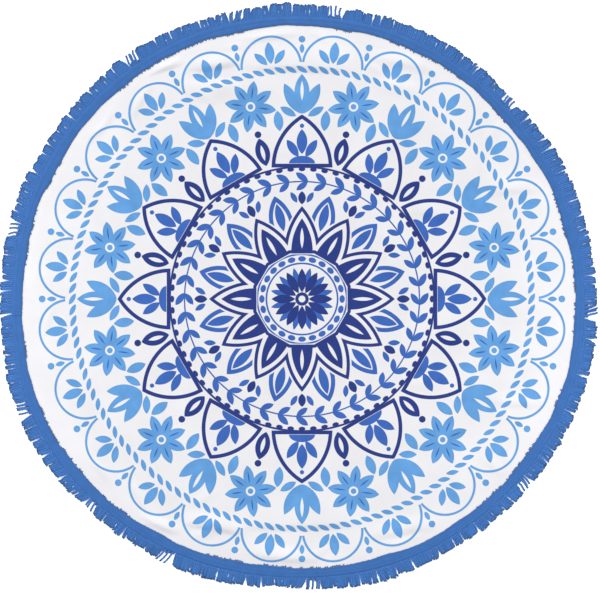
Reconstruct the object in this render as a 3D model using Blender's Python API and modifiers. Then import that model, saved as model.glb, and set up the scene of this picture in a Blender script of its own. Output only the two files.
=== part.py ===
"""A round beach towel, lying flat with its printed side up.

The panel is one round of terry cloth. The heading is the woven tape of the fringe trim, sewn flat on top of
the panel's edge, and the fringe is the comb of cut yarns that hangs out of it. Sizes are in metres. The
towel's underside is at z = 0, and the origin is the middle of its fringed outline.
"""

import math
import random
from collections import namedtuple

import bmesh
import bpy
from mathutils import Vector
from mathutils.geometry import delaunay_2d_cdt

# Driving sizes
EDGE_RADIUS = 0.712  # mean radius of the panel's hemmed edge
CLOTH_THICKNESS = 0.003  # velour pile, ground weave and loops together
HEADING_WIDTH = 0.024
HEADING_LAP = 0.017  # the part of the heading's width that lies on the panel
HEADING_THICKNESS = 0.0015
FRINGE_LENGTH = 0.0295  # mean reach of the cut yarns past the heading
FRINGE_THICKNESS = 0.003  # one yarn
FIT_GAP = 0.0003  # between two sewn pieces, so that they stay two solids

# The outline is a circle with a few slow waves, as cloth pulled by its trim lies.
EdgeWave = namedtuple("EdgeWave", "waves_round height turn_deg")
EDGE_WAVES = (
    EdgeWave(2, 0.0073, -2),
    EdgeWave(3, 0.0052, -78),
    EdgeWave(4, 0.0017, 151),
    EdgeWave(5, 0.0014, -30),
    EdgeWave(8, 0.0010, -172),
)
EDGE_CORNERS = 120

# Soft folds, each a ridge. x, y is the middle of its crest, bend is how far that middle stands off the
# straight line between the crest's ends, and each side falls to the flat cloth over its own width.
Fold = namedtuple("Fold", "x y along_deg length bend left_width right_width height")
FOLDS = (
    # upper half: the long crease across runs below these four ridges
    Fold(0.012, 0.588, -2, 0.320, 0.004, 0.072, 0.020, 0.0062),
    Fold(-0.209, 0.593, 7, 0.150, -0.003, 0.030, 0.019, 0.0060),
    Fold(-0.345, 0.586, 20, 0.120, 0.003, 0.020, 0.015, 0.0052),
    Fold(0.270, 0.598, -11, 0.180, 0.003, 0.028, 0.024, 0.0036),
    # and above these two
    Fold(-0.212, 0.536, -1, 0.180, 0.004, 0.024, 0.050, 0.0040),
    Fold(0.255, 0.538, -9, 0.130, 0.004, 0.022, 0.034, 0.0028),
    # the arch between it and the edge, then the right edge and the left shoulder
    Fold(-0.070, 0.666, 8, 0.170, -0.003, 0.016, 0.018, 0.0030),
    Fold(0.551, 0.277, 3, 0.150, 0.004, 0.034, 0.016, 0.0032),
    Fold(-0.397, 0.501, 60, 0.110, 0.004, 0.017, 0.013, 0.0034),
    Fold(-0.491, 0.438, 50, 0.110, -0.005, 0.018, 0.015, 0.0026),
    # lower half: much the same creases, mirrored
    Fold(0.012, -0.570, 2, 0.320, -0.003, 0.090, 0.020, 0.0056),
    Fold(-0.209, -0.574, -8, 0.170, 0.004, 0.036, 0.018, 0.0072),
    Fold(-0.350, -0.573, -20, 0.120, -0.003, 0.022, 0.015, 0.0056),
    Fold(0.262, -0.584, 11, 0.180, -0.003, 0.034, 0.022, 0.0040),
    Fold(-0.040, -0.652, -8, 0.200, -0.003, 0.036, 0.020, 0.0046),
    Fold(0.551, -0.264, -4, 0.150, -0.004, 0.030, 0.015, 0.0032),
    Fold(-0.397, -0.503, -60, 0.110, -0.004, 0.013, 0.017, 0.0030),
    Fold(-0.491, -0.440, -50, 0.110, 0.005, 0.015, 0.018, 0.0026),
)
FOLD_STEP = 0.034  # between points along a crest
FOLD_FADE = 0.020  # a fold dies out over this width before it reaches the flat margin
FLAT_MARGIN = 0.020  # the flat border of the panel, with the heading on it
LATTICE_STEP = 0.105  # between points of the flat cloth
LEAST_SPACING = 0.011  # between any two points of the cloth

# The comb's teeth are clumps of yarns, as uneven as yarns that cling together.
TEETH = 150
TOOTH_WIDTHS = (0.012, 0.044)  # narrowest and widest
GAP_WIDTHS = (0.0012, 0.0050)
NOTCH_SHARES = (0.30, 1.0)  # the shallowest and deepest notch, as shares of the fringe's length
TIP_STEP = 0.008  # between the points of a tooth's ragged end
TIP_NARROWING = 0.0008  # a tooth's end is this much narrower on each side than its root
LENGTH_SPREAD = 0.0042  # a tooth's length varies this much either way
RAGGEDNESS = 0.0012  # and its end this much
MOST_LEAN = 0.0004  # how far a tooth's end is combed sideways
NOTCH_MARGIN = 0.0020  # between the heading and the deepest notch
TRIM_JOINT_DEG = 183  # the direction in which the trim's two ends meet
TRIM_JOINT_GAP = 0.008
YARN_SEED = 7

FINISHES = {  # base colour, roughness
    "towel": ((0.90, 0.90, 0.92), 0.95),
    "heading": ((0.060, 0.170, 0.480), 0.85),
    "fringe": ((0.060, 0.170, 0.480), 0.80),
}


def edge_radius(angle):
    """The panel's radius in this direction."""
    return EDGE_RADIUS + sum(
        w.height * math.cos(w.waves_round * angle - math.radians(w.turn_deg)) for w in EDGE_WAVES
    )


def on_edge(angle, beyond=0.0):
    """A point this far beyond the panel's edge, before the outline is centred."""
    radius = edge_radius(angle) + beyond
    return Vector((radius * math.cos(angle), radius * math.sin(angle)))


def edge_loop(beyond):
    """One turn of points this far beyond the panel's edge."""
    return [on_edge(math.tau * k / EDGE_CORNERS, beyond) for k in range(EDGE_CORNERS)]


def tooth_outline(left, right, length, notch_depths, yarns):
    """One clump: up its left side, along its ragged end and down its right side."""
    heading_edge = HEADING_WIDTH - HEADING_LAP
    deepest = heading_edge + NOTCH_MARGIN
    lean = yarns.uniform(-MOST_LEAN, MOST_LEAN)
    end_left = left + (TIP_NARROWING + lean) / EDGE_RADIUS
    end_right = right - (TIP_NARROWING - lean) / EDGE_RADIUS
    steps = max(1, round((end_right - end_left) * EDGE_RADIUS / TIP_STEP))
    yield on_edge(left, max(heading_edge + length - notch_depths[0], deepest))
    for k in range(steps + 1):
        angle = end_left + (end_right - end_left) * k / steps
        yield on_edge(angle, heading_edge + length + yarns.uniform(-RAGGEDNESS, RAGGEDNESS))
    yield on_edge(right, max(heading_edge + length - notch_depths[1], deepest))


def fringe_loop():
    """The comb's outer outline, one tooth after another from where the trim's ends meet."""
    yarns = random.Random(YARN_SEED)
    widths = [yarns.uniform(*TOOTH_WIDTHS) for _ in range(TEETH)]
    gaps = [TRIM_JOINT_GAP] + [yarns.uniform(*GAP_WIDTHS) for _ in range(TEETH - 1)]
    depths = [FRINGE_LENGTH * yarns.uniform(*NOTCH_SHARES) for _ in range(TEETH)]
    depths[0] = FRINGE_LENGTH
    turn_per_width = math.tau / (sum(widths) + sum(gaps))
    angle = math.radians(TRIM_JOINT_DEG)
    points = []
    for tooth, (width, gap) in enumerate(zip(widths, gaps)):
        left = angle + gap * turn_per_width
        right = left + width * turn_per_width
        length = FRINGE_LENGTH + yarns.uniform(-LENGTH_SPREAD, LENGTH_SPREAD)
        notches = (depths[tooth], depths[(tooth + 1) % TEETH])
        points += tooth_outline(left, right, length, notches, yarns)
        angle = right
    return points


def middle_of(points):
    """The middle of the points' box."""
    lows = Vector((min(p.x for p in points), min(p.y for p in points)))
    highs = Vector((max(p.x for p in points), max(p.y for p in points)))
    return (lows + highs) / 2


def shifted(points, by):
    return [p - by for p in points]


def smooth_step(share):
    share = min(max(share, 0.0), 1.0)
    return share * share * (3 - 2 * share)


def fold_frame(fold):
    """The directions along and across a fold's crest."""
    turn = math.radians(fold.along_deg)
    return Vector((math.cos(turn), math.sin(turn))), Vector((-math.sin(turn), math.cos(turn)))


def fold_height(fold, point):
    """How far one fold lifts the cloth here: a soft ridge that runs out at both ends."""
    along, across = fold_frame(fold)
    offset = point - Vector((fold.x, fold.y))
    run = offset.dot(along) / (fold.length / 2)
    from_crest = offset.dot(across) + fold.bend * run**2
    side = from_crest / (fold.left_width if from_crest > 0 else fold.right_width)
    if abs(run) >= 1 or abs(side) >= 1:
        return 0.0
    return fold.height * math.cos(math.pi * side / 2) ** 2 * math.cos(math.pi * run / 2)


def inside_edge(point):
    """How far this point is inside the panel's edge."""
    return edge_radius(math.atan2(point.y, point.x)) - point.length


def cloth_lift(point):
    """How far the cloth's underside stands off the surface it lies on."""
    fade = smooth_step((inside_edge(point) - FLAT_MARGIN) / FOLD_FADE)
    return fade * sum(fold_height(f, point) for f in FOLDS)


def fold_points(fold):
    """Points along a fold's crest, its two flanks and its two feet."""
    along, across = fold_frame(fold)
    steps = math.ceil(fold.length / FOLD_STEP)
    for k in range(steps + 1):
        run = 2 * k / steps - 1
        crest = Vector((fold.x, fold.y)) + along * run * fold.length / 2 - across * fold.bend * run**2
        for to_side in (0.0, fold.left_width, -fold.right_width, fold.left_width / 2, -fold.right_width / 2):
            yield crest + across * to_side


def lattice_points(middle):
    """Points of the flat cloth, with one triangle round the towel's middle."""
    row_step = LATTICE_STEP * math.sqrt(3) / 2
    rows = math.ceil(EDGE_RADIUS / row_step)
    for row in range(-rows, rows + 1):
        for column in range(-rows, rows + 1):
            x = (column + 0.5 * (row % 2) + 0.5) * LATTICE_STEP
            yield middle + Vector((x, (row - 1 / 3) * row_step))


def cloth_points(middle):
    """The edge and the flat margin's inner line, then the folds' points and the lattice's, none too close."""
    points = edge_loop(0.0) + edge_loop(-FLAT_MARGIN)
    for candidate in [p for f in FOLDS for p in fold_points(f)] + list(lattice_points(middle)):
        if inside_edge(candidate) < FLAT_MARGIN:
            continue
        if all((candidate - p).length > LEAST_SPACING for p in points):
            points.append(candidate)
    return points


def add_object(name, data):
    """Puts a new object in the towel's collection, with its own material."""
    piece = bpy.data.objects.new(name, data)
    bpy.data.collections["round_beach_towel"].objects.link(piece)
    colour, roughness = FINISHES[name]
    material = bpy.data.materials.new(name)
    material.use_nodes = True
    surface = material.node_tree.nodes["Principled BSDF"]
    surface.inputs["Base Color"].default_value = (*colour, 1.0)
    surface.inputs["Roughness"].default_value = roughness
    surface.inputs["Metallic"].default_value = 0.0
    data.materials.append(material)
    return piece


def make_towel(middle):
    """The panel: an open sheet through its points, raised at the folds, then given its thickness."""
    edge = [(k, (k + 1) % EDGE_CORNERS) for k in range(EDGE_CORNERS)]
    margin = [(a + EDGE_CORNERS, b + EDGE_CORNERS) for a, b in edge]
    inside_edges = 1
    points = cloth_points(middle)
    flat, _, triangles, *_ = delaunay_2d_cdt(points, edge + margin, [], inside_edges, 1e-6)
    mesh = bpy.data.meshes.new("towel")
    mesh.from_pydata([(p.x - middle.x, p.y - middle.y, cloth_lift(p)) for p in flat], [], triangles)
    sheet = bmesh.new()
    sheet.from_mesh(mesh)
    for face in sheet.faces:
        if face.normal.z < 0:
            face.normal_flip()
    sheet.to_mesh(mesh)
    sheet.free()
    towel = add_object("towel", mesh)
    body = towel.modifiers.new("Thickness", "SOLIDIFY")
    body.thickness = CLOTH_THICKNESS
    body.offset = 1.0
    mesh.shade_smooth()
    return towel


def make_flat_ring(name, outer, inner, bottom, thickness):
    """A flat ring between two outlines, lying at this height."""
    curve = bpy.data.curves.new(name, "CURVE")
    curve.dimensions = "2D"
    curve.fill_mode = "BOTH"
    curve.extrude = thickness / 2
    for loop in (outer, inner):
        spline = curve.splines.new("POLY")
        spline.points.add(len(loop) - 1)
        for place, point in zip(spline.points, loop):
            place.co = (point.x, point.y, 0.0, 1.0)
        spline.use_cyclic_u = True
    ring = add_object(name, curve)
    ring.location.z = bottom + thickness / 2
    return ring


def main():
    for old in list(bpy.data.objects):
        bpy.data.objects.remove(old, do_unlink=True)
    towel_collection = bpy.data.collections.new("round_beach_towel")
    bpy.context.scene.collection.children.link(towel_collection)

    comb = fringe_loop()
    middle = middle_of(comb)
    make_towel(middle)
    make_flat_ring(
        "heading",
        shifted(edge_loop(HEADING_WIDTH - HEADING_LAP), middle),
        shifted(edge_loop(-HEADING_LAP), middle),
        CLOTH_THICKNESS + FIT_GAP,
        HEADING_THICKNESS,
    )
    make_flat_ring("fringe", shifted(comb, middle), shifted(edge_loop(FIT_GAP), middle), 0.0, FRINGE_THICKNESS)


main()
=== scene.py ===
# %% [markdown]
# # A round beach towel
# One round of velour terry, printed blue on white, lies flat on a pale floor. A fringe trim runs all round
# it: a ribbed tape sewn on top of the cloth's edge, with cut yarns hanging out of it.
# The frame holds the plain solids of these pieces at their real size, and every finished piece below takes
# the place of one of them. So the script starts by loading that frame and measuring it.

# %% Load the frame
import math
from collections import namedtuple
from itertools import groupby

import bpy
import numpy as np
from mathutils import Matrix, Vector, noise


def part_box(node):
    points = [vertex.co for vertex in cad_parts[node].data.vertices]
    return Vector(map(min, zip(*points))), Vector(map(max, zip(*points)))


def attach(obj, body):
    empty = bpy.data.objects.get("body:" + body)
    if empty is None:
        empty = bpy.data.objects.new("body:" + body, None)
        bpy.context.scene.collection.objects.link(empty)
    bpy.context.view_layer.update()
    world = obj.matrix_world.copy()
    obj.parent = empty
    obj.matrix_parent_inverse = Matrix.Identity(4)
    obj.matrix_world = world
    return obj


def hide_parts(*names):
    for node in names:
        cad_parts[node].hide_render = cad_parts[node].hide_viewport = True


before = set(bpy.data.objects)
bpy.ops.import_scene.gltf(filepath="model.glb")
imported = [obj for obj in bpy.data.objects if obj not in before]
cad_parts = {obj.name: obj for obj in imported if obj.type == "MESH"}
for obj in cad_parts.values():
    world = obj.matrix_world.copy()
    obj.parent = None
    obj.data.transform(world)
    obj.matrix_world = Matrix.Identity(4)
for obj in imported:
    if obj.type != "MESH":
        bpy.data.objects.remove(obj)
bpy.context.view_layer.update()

bpy.ops.object.select_all(action="DESELECT")

# %% [markdown]
# ## The outline
# No towel is a true circle: the trim pulls the cloth in a little here and lets it out there. The outline
# could be drawn point by point, but a circle with a few slow waves says the same in five short rows.
# The printed side's own middle and the middle of the whole outline differ by a few millimetres, which is
# found here by laying the formula over the tape in the frame.

# %% The edge of the cloth
EDGE_RADIUS = 0.712
CLOTH_THICKNESS = 0.003
TAPE_INSIDE = 0.017  # how far the tape reaches in from the edge
TAPE_OUTSIDE = 0.007  # and out past it
FRINGE_LENGTH = 0.0295  # how far the yarns reach past the tape

EdgeWave = namedtuple("EdgeWave", "waves_round height turn_deg")
EDGE_WAVES = ((2, 0.0073, -2), (3, 0.0052, -78), (4, 0.0017, 151), (5, 0.0014, -30), (8, 0.001, -172))


def wave_height(rows, angle):
    """How high a table of waves adds up to in this direction, or in each direction of an array."""
    waves = [EdgeWave(*row) for row in rows]
    return sum(w.height * np.cos(w.waves_round * angle - math.radians(w.turn_deg)) for w in waves)


def edge_radius(angle):
    """The cloth's radius in this direction."""
    return EDGE_RADIUS + wave_height(EDGE_WAVES, angle)


def around_edge(angle, beyond):
    """x and y of points this far beyond the cloth's edge, before the outline is centred."""
    radius = edge_radius(angle) + beyond
    return np.stack([radius * np.cos(angle), radius * np.sin(angle)], axis=-1)


FRAME_CORNERS = 120
tape_outline = around_edge(np.arange(FRAME_CORNERS) * math.tau / FRAME_CORNERS, TAPE_OUTSIDE)
tape_low, tape_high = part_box("heading")
MIDDLE = (tape_outline.min(0) + tape_outline.max(0)) / 2 - np.array((tape_low + tape_high) / 2)[:2]
print("the outline's middle, in mm:", (1000 * MIDDLE).round(2))

# %% [markdown]
# ## Camera
# The towel was photographed from straight above and from far off, so its outline isn't stretched. A long
# lens on a camera six metres up gives that, and one photo pixel is 2.53 mm of cloth.

# %% The camera
PIXEL = 0.00253
PHOTO_PIXELS = 600
PHOTO_MIDDLE = (297.4, 298.6)  # where the towel's middle lies, in pixels from the top left
CAMERA_HEIGHT = 6.0
SENSOR_WIDTH = 36.0


def photo_place(x, y):
    """Where a pixel of the photo lies on the floor."""
    return (x - PHOTO_MIDDLE[0]) * PIXEL - MIDDLE[0], (PHOTO_MIDDLE[1] - y) * PIXEL - MIDDLE[1]


camera = bpy.data.objects.new("camera", bpy.data.cameras.new("camera"))
bpy.context.scene.collection.objects.link(camera)
camera.data.sensor_width = SENSOR_WIDTH
camera.data.lens = SENSOR_WIDTH * CAMERA_HEIGHT / (PHOTO_PIXELS * PIXEL)
camera.location = (*photo_place(PHOTO_PIXELS / 2, PHOTO_PIXELS / 2), CAMERA_HEIGHT)
bpy.context.scene.camera = camera
print("lens in mm:", round(camera.data.lens, 1))

# %% [markdown]
# ## Floor and light
# The towel lies on a lit table, as pictures for a shop are often made: the table glows a little, so even
# the gaps in the fringe stay white. Folds in white cloth show only if more light comes from one side, so a
# broad sun stands behind the towel's upper edge and leaves each fold's far flank a faint grey. Low strip
# lights round the towel make its rim a little brighter than its middle, most of all left and right.

# %% The floor and the lights
FLOOR_SIZE = 40.0
FLOOR_DROP = 0.0003  # the towel's underside is at 0
TABLE_GREY = (0.90, 0.90, 0.90, 1.0)
TABLE_GLOW = 0.55
WHITE = (1.0, 1.0, 1.0, 1.0)
ROOM_LIGHT = 0.52
SUN_STRENGTH = 1.85
SUN_WIDTH = math.radians(24)
SUN_DIRECTION = (0.12, -1.0, -1.0)
STRIP_WIDTH = 0.30
STRIP_LENGTH = 1.5
STRIP_ASIDE = 1.05
STRIP_HEIGHT = 0.32
Strip = namedtuple("Strip", "turn_deg watts")
STRIPS = (Strip(-10, 1.30), Strip(92, 0.62), Strip(180, 1.25), Strip(268, 0.34))


def set_inputs(node, values):
    for name, value in values.items():
        node.inputs[name].default_value = value


def add_light(name, kind, energy, place, target):
    """A light at a place, turned to its target."""
    light = bpy.data.objects.new(name, bpy.data.lights.new(name, kind))
    light.data.energy = energy
    light.location = place
    light.rotation_euler = (Vector(target) - Vector(place)).to_track_quat("-Z", "Y").to_euler()
    bpy.context.scene.collection.objects.link(light)
    return light


bpy.ops.mesh.primitive_plane_add(size=FLOOR_SIZE, location=(0.0, 0.0, -FLOOR_DROP))
floor = bpy.context.object
floor.name = "floor"
lit_table = bpy.data.materials.new("lit_table")
lit_table.use_nodes = True
set_inputs(lit_table.node_tree.nodes["Principled BSDF"], {
    "Base Color": TABLE_GREY, "Roughness": 1.0, "Specular IOR Level": 0.0,
    "Emission Color": WHITE, "Emission Strength": TABLE_GLOW,
})
floor.data.materials.append(lit_table)

world = bpy.data.worlds.new("soft_room")
world.use_nodes = True
set_inputs(world.node_tree.nodes["Background"], {"Color": WHITE, "Strength": ROOM_LIGHT})
bpy.context.scene.world = world

sun = add_light("window", "SUN", SUN_STRENGTH, (0.0, 0.0, 0.0), SUN_DIRECTION)
sun.data.angle = SUN_WIDTH
for turn_deg, watts in STRIPS:
    turn = math.radians(turn_deg)
    out = Vector((math.cos(turn), math.sin(turn), 0.0))
    above_rim = out * STRIP_ASIDE + Vector((0.0, 0.0, STRIP_HEIGHT))
    strip = add_light("strip", "AREA", watts, above_rim, out * EDGE_RADIUS)
    strip.data.shape = "RECTANGLE"
    strip.data.size, strip.data.size_y = STRIP_LENGTH, STRIP_WIDTH
    strip.visible_camera = False

bpy.context.scene.view_settings.view_transform = "Standard"
print("lights:", world.name, sun.name, "and", len(STRIPS), "strips")

# %% [markdown]
# ## Helpers for meshes
# A piece starts as a primitive, is shaped with the edit mode's operators, and then its points are laid on
# the towel's outline in one go. Reading and writing all points as one table of numbers keeps that fast.

# %% Helpers for meshes
def points_of(mesh):
    flat = np.empty(len(mesh.vertices) * 3)
    mesh.vertices.foreach_get("co", flat)
    return flat.reshape(-1, 3)


def move_points(mesh, points):
    mesh.vertices.foreach_set("co", np.ascontiguousarray(points).ravel())
    mesh.update()


def triangles_of(piece):
    return sum(len(p.vertices) - 2 for p in piece.data.polygons)


def smooth_step(share):
    share = np.clip(share, 0.0, 1.0)
    return share * share * (3 - 2 * share)


def start_ring(name, corners, radius):
    """A piece that is an open circle so far, in edit mode with all of it selected."""
    bpy.ops.object.select_all(action="DESELECT")
    bpy.ops.mesh.primitive_circle_add(vertices=corners, radius=radius, fill_type="NOTHING")
    piece = bpy.context.object
    piece.name = piece.data.name = name
    bpy.ops.object.mode_set(mode="EDIT")
    bpy.ops.mesh.select_all(action="SELECT")
    return piece


def select_open_edges():
    bpy.ops.mesh.select_all(action="DESELECT")
    bpy.ops.mesh.select_mode(type="EDGE")
    bpy.ops.mesh.select_non_manifold()


def extrude_rings(radii, heights=None):
    """In edit mode, with an open outline selected: grows one ring of faces to each radius and height."""
    heights = heights or [0.0] * len(radii)
    bpy.ops.transform.translate(value=(0.0, 0.0, heights[0]))
    for k in range(1, len(radii)):
        bpy.ops.mesh.extrude_region_move(
            TRANSFORM_OT_translate={"value": (0.0, 0.0, heights[k] - heights[k - 1])}
        )
        share = radii[k] / radii[k - 1]
        bpy.ops.transform.resize(value=(share, share, 1.0), center_override=(0.0, 0.0, 0.0))


def finish_ring():
    """Turns all faces the same way and leaves edit mode."""
    bpy.ops.mesh.select_all(action="SELECT")
    bpy.ops.mesh.normals_make_consistent(inside=False)
    bpy.ops.object.mode_set(mode="OBJECT")


# %% [markdown]
# ## The panel
# The cloth could be a disc of long thin wedges round one middle point, but folds need even faces, so a
# circle is filled with a grid instead. Rings with finer steps are then extruded along the margin, where
# the hem is. The outline's waves fade towards the middle.

# %% The flat panel
CIRCLE_CORNERS = 760
GRID_SPAN = 200  # grid faces up and down, which leaves 180 across
FULL_WAVE_RADIUS = 0.66
MARGIN_STEPS = (
    0.034, 0.025, 0.0185, 0.0172, 0.0158, 0.0141, 0.0128, 0.0115, 0.0078, 0.0041, 0.0028, 0.0015, 0.0,
)

panel = start_ring("panel", CIRCLE_CORNERS, EDGE_RADIUS - MARGIN_STEPS[0])
bpy.ops.mesh.fill_grid(span=GRID_SPAN)
select_open_edges()
extrude_rings([EDGE_RADIUS - step for step in MARGIN_STEPS])
finish_ring()
if panel.data.polygons[0].normal.z < 0:
    panel.data.flip_normals()


def lay_on_outline(points):
    """Bends a round table of points, made at the mean radius, to the towel's outline."""
    radius = np.hypot(points[:, 0], points[:, 1])
    angle = np.arctan2(points[:, 1], points[:, 0])
    waves = edge_radius(angle) - EDGE_RADIUS
    radius = radius + waves * np.minimum(radius / FULL_WAVE_RADIUS, 1.0) ** 2
    laid = points.copy()
    laid[:, 0] = radius * np.cos(angle) - MIDDLE[0]
    laid[:, 1] = radius * np.sin(angle) - MIDDLE[1]
    return laid


def inside_edge(points):
    """How far inside the cloth's edge each point of the laid cloth is."""
    x, y = (points[:, :2] + MIDDLE).T
    return edge_radius(np.arctan2(y, x)) - np.hypot(x, y)


move_points(panel.data, lay_on_outline(points_of(panel.data)))
print("panel:", len(panel.data.polygons), "faces")

# %% [markdown]
# ## Its folds
# A towel that was folded and laid out keeps soft creases. Each one is a low ridge with its own length,
# bend and two flank widths, so that no two are alike. A cloth simulation would make other folds than the
# ones that show, so these are placed one by one. The flat cloth between them isn't a mirror either: a slow
# noise lets it float up to two millimetres off the floor.

# %% The folds
Fold = namedtuple("Fold", "x y along_deg length bend left_width right_width height")
FOLDS = (
    # upper half: the long crease across runs below these four ridges
    (0.012, 0.588, -2, 0.32, 0.004, 0.072, 0.02, 0.0062),
    (-0.209, 0.593, 7, 0.15, -0.003, 0.03, 0.019, 0.006),
    (-0.345, 0.586, 20, 0.12, 0.003, 0.02, 0.015, 0.0052),
    (0.27, 0.598, -11, 0.18, 0.003, 0.028, 0.024, 0.0036),
    # and above these two
    (-0.212, 0.536, -1, 0.18, 0.004, 0.024, 0.05, 0.004),
    (0.255, 0.538, -9, 0.13, 0.004, 0.022, 0.034, 0.0028),
    # the arch between it and the edge, then the right edge and the left shoulder
    (-0.07, 0.666, 8, 0.17, -0.003, 0.016, 0.018, 0.003),
    (0.551, 0.277, 3, 0.15, 0.004, 0.034, 0.016, 0.0032),
    (-0.397, 0.501, 60, 0.11, 0.004, 0.017, 0.013, 0.0034),
    (-0.491, 0.438, 50, 0.11, -0.005, 0.018, 0.015, 0.0026),
    # lower half: much the same creases, mirrored
    (0.012, -0.57, 2, 0.32, -0.003, 0.09, 0.02, 0.0056),
    (-0.209, -0.574, -8, 0.17, 0.004, 0.036, 0.018, 0.0072),
    (-0.35, -0.573, -20, 0.12, -0.003, 0.022, 0.015, 0.0056),
    (0.262, -0.584, 11, 0.18, -0.003, 0.034, 0.022, 0.004),
    (-0.04, -0.652, -8, 0.2, -0.003, 0.036, 0.02, 0.0046),
    (0.551, -0.264, -4, 0.15, -0.004, 0.03, 0.015, 0.0032),
    (-0.397, -0.503, -60, 0.11, -0.004, 0.013, 0.017, 0.003),
    (-0.491, -0.44, -50, 0.11, 0.005, 0.015, 0.018, 0.0026),
)
# small ones, too low for the frame
CRINKLES = (
    (0.196, 0.583, -34, 0.06, 0.002, 0.012, 0.014, 0.0016),
    (0.06, 0.664, -40, 0.08, 0.004, 0.016, 0.02, 0.0018),
    (0.32, 0.222, -6, 0.11, 0.003, 0.03, 0.018, 0.0018),
    (-0.238, 0.512, -28, 0.08, 0.003, 0.016, 0.014, 0.0014),
    (-0.152, 0.64, 14, 0.09, 0.003, 0.014, 0.016, 0.0014),
    (0.501, 0.425, 46, 0.1, 0.005, 0.016, 0.02, 0.0018),
    (-0.632, 0.062, 104, 0.08, 0.003, 0.013, 0.015, 0.002),
    (-0.228, -0.592, 12, 0.1, 0.002, 0.014, 0.016, 0.0022),
    (0.272, -0.617, 8, 0.12, -0.003, 0.022, 0.018, 0.0022),
    (0.062, -0.64, 40, 0.07, 0.003, 0.016, 0.014, 0.0014),
    (0.32, -0.21, 6, 0.11, -0.003, 0.02, 0.026, 0.0018),
    (-0.238, -0.504, 28, 0.08, -0.003, 0.014, 0.016, 0.0014),
    (0.501, -0.428, -46, 0.1, -0.005, 0.02, 0.016, 0.0018),
    (-0.628, -0.048, 72, 0.08, 0.003, 0.014, 0.014, 0.0022),
)
FOLD_FADE = 0.020
FLAT_MARGIN = 0.020
Swell = namedtuple("Swell", "across height")
SWELLS = (Swell(0.160, 0.00045), Swell(0.060, 0.00028), Swell(0.029, 0.00015))
WANDER = Swell(0.060, 0.0045)  # sideways, of every crease
WANDER_SEED = 54  # without one, noise_vector starts from the clock
UNEVEN = Swell(0.085, 0.25)  # a share of a fold's height


def fold_height(fold, x, y):
    """How far one fold lifts the cloth: a soft ridge that runs out at both ends."""
    turn = math.radians(fold.along_deg)
    along = (x - fold.x) * math.cos(turn) + (y - fold.y) * math.sin(turn)
    across = (y - fold.y) * math.cos(turn) - (x - fold.x) * math.sin(turn)
    run = along / (fold.length / 2)
    from_crest = across + fold.bend * run**2
    side = from_crest / np.where(from_crest > 0, fold.left_width, fold.right_width)
    lift = fold.height * np.cos(math.pi * side / 2) ** 2 * np.cos(math.pi * run / 2)
    return np.where((abs(run) < 1) & (abs(side) < 1), lift, 0.0)


def noise_at(points, across):
    """A slow noise, from about -1 to 1, at each point."""
    return np.array([noise.noise(Vector(p) / across) for p in points])


flat = points_of(panel.data)
fade = smooth_step((inside_edge(flat) - FLAT_MARGIN) / FOLD_FADE)
noise.seed_set(WANDER_SEED)
strayed = WANDER.height * np.array([noise.noise_vector(Vector(p) / WANDER.across) for p in flat])
x, y = (flat[:, :2] + MIDDLE + strayed[:, :2]).T
folded = sum(fold_height(Fold(*row), x, y) for row in FOLDS + CRINKLES)
uneven = 1 + UNEVEN.height * noise_at(flat, UNEVEN.across)
swollen = sum(swell.height * (1 + noise_at(flat, swell.across)) for swell in SWELLS)
flat[:, 2] = fade * (folded * uneven + swollen)
move_points(panel.data, flat)
print("highest fold, in mm:", round(1000 * flat[:, 2].max(), 2))

# %% [markdown]
# ## Its thickness and hem
# Terry is thick: pile, ground weave and loops together are about 3 mm. Solidify grows that upwards from the
# sheet, and Bevel rounds the edge. The hem is the same cloth turned under once and stitched, so on the
# underside its cut edge stands out as a low step, with a groove where the thread pulls it in.

# %% Thickness and hem
EDGE_ROUNDING = 0.0011
SHARP_EDGE = math.radians(50)
FACING_DOWN = -0.9  # a normal's z
HEM_WIDTH = 0.0158
HEM_STEP = 0.0008
HEM_STEP_WIDTH = 0.0014
HEM_STEP_FADE = 0.02  # starts this far in, and takes as long
GROOVE_DEPTH = 0.0006
GROOVE_PLACES = (0.0128, 0.0028)  # inside the edge
GROOVE_WIDTH = 0.0013

thickness = panel.modifiers.new("thickness", "SOLIDIFY")
thickness.thickness = CLOTH_THICKNESS
thickness.offset = 1.0
rounding = panel.modifiers.new("rounding", "BEVEL")
rounding.width = EDGE_ROUNDING
rounding.segments = 2
rounding.limit_method = "ANGLE"
rounding.angle_limit = SHARP_EDGE
for modifier in list(panel.modifiers):
    bpy.ops.object.modifier_apply(modifier=modifier.name)

underside = np.zeros(len(panel.data.vertices), bool)
for face in panel.data.polygons:
    if face.normal.z < FACING_DOWN:
        underside[list(face.vertices)] = True
solid = points_of(panel.data)
inside = inside_edge(solid)
past_hem = HEM_STEP * smooth_step((inside - HEM_WIDTH) / HEM_STEP_WIDTH)
past_hem = past_hem * (1 - smooth_step((inside - HEM_STEP_FADE) / HEM_STEP_FADE))
groove = GROOVE_DEPTH * sum(smooth_step(1 - abs(inside - g) / GROOVE_WIDTH) for g in GROOVE_PLACES)
solid[:, 2] += np.where(underside, past_hem + groove, 0.0)
move_points(panel.data, solid)
panel.data.shade_smooth()
print("panel:", triangles_of(panel), "triangles")

# %% [markdown]
# ## The two faces of the cloth
# The printed face is velour, sheared loops that stand like short grass. The underside keeps its loops and
# has no print. They are two materials on one piece, so each face is told which one it takes.
# The piece also gets a map of its own: the printed face fills it, and the plain underside is a small disc
# in one corner.

# %% Faces and map of the panel
FACING_UP = 0.3  # a normal's z
OUTER_RADIUS = 0.73
MAP_RADIUS = 0.492
MAP_MIDDLE = 0.5
UNDERSIDE_RADIUS = 0.078
UNDERSIDE_PLACE = 0.084

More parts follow.
